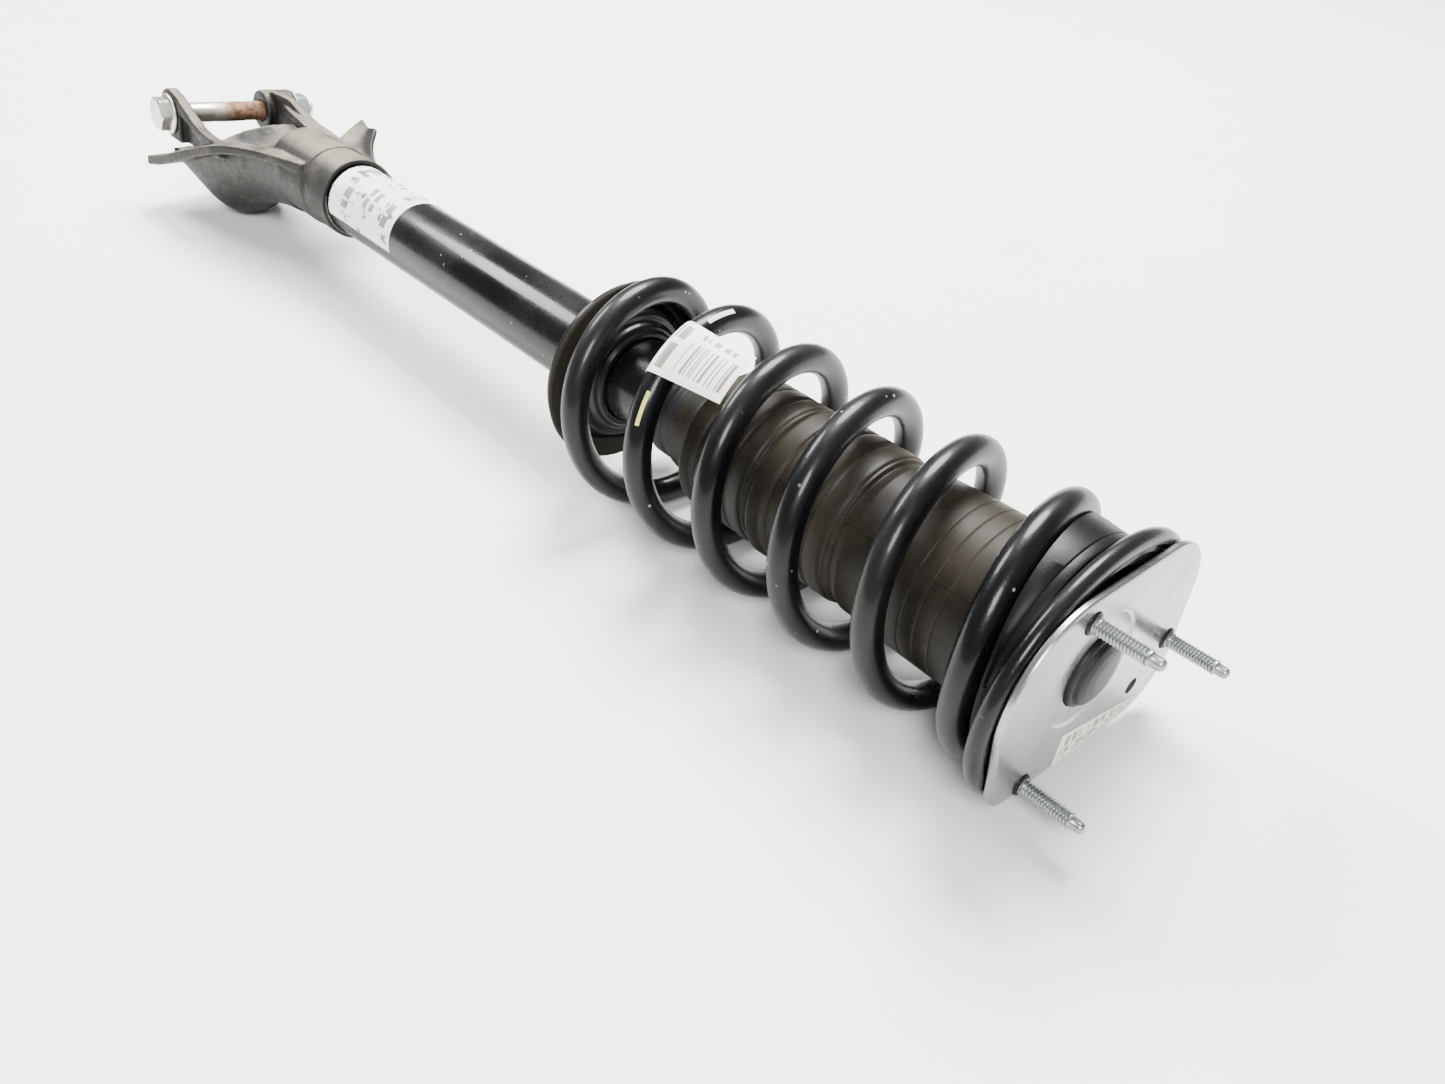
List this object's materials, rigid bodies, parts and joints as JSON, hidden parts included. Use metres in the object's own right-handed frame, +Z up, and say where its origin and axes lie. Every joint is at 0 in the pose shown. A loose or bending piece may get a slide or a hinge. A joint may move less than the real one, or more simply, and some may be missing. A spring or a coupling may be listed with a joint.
{
  "type": "strut assembly",
  "caption": "Coil-over suspension strut: damper tube with forked lower yoke and cross bolt, coil spring, bellows boot and studded top mount.",
  "frame": {"origin": "middle of the strut's bounding box, on the surface it lies on", "axes": "+X along the strut's axis from the fork to the top mount, +Z up as it lies"},
  "size_m": [0.9226, 0.1606, 0.1369],
  "materials": {
    "black_paint": "gloss",
    "zinc_steel": "satin",
    "bare_steel": "satin",
    "chrome_rod": "gloss",
    "fork_steel": "matte",
    "mount_rubber": "matte",
    "boot_rubber": "matte",
    "bumper_foam": "matte",
    "black_plastic": "satin"
  },
  "bodies": {
    "lower_body": {"base_valve": "bare_steel", "bump_stop_cap": "black_plastic", "coil_spring": "black_paint", "damper_tube": "black_paint", "fork_bolt": "zinc_steel", "fork_nut": "zinc_steel", "fork_yoke": "fork_steel", "hose_bracket": "fork_steel", "lower_isolator": "mount_rubber", "lower_spring_seat": "black_paint", "pressure_tube": "bare_steel", "rod_guide": "bare_steel", "rod_seal": "mount_rubber", "tube_base_cap": "black_paint"},
    "upper_body": {"piston_rod": "chrome_rod", "piston": "bare_steel", "piston_ring": "black_plastic", "piston_nut": "bare_steel", "rebound_stop": "black_plastic", "jounce_bumper": "bumper_foam", "dust_boot": "boot_rubber", "upper_spring_seat": "black_paint", "upper_isolator": "mount_rubber", "mount_plate": "zinc_steel", "mount_bushing": "mount_rubber", "bushing_sleeve": "bare_steel", "rod_nut": "bare_steel", "centre_cap": "black_plastic", "mount_stud_1": "zinc_steel", "mount_stud_2": "zinc_steel", "mount_stud_3": "zinc_steel"}
  },
  "joints": [
    {"name": "damper_stroke", "type": "slide", "parent": "lower_body", "child": "upper_body", "axis": [-1, 0, 0], "range_m": [0, 0.13], "stiffness_N_per_m": 32000, "deforming": ["coil_spring", "dust_boot"]}
  ]
}
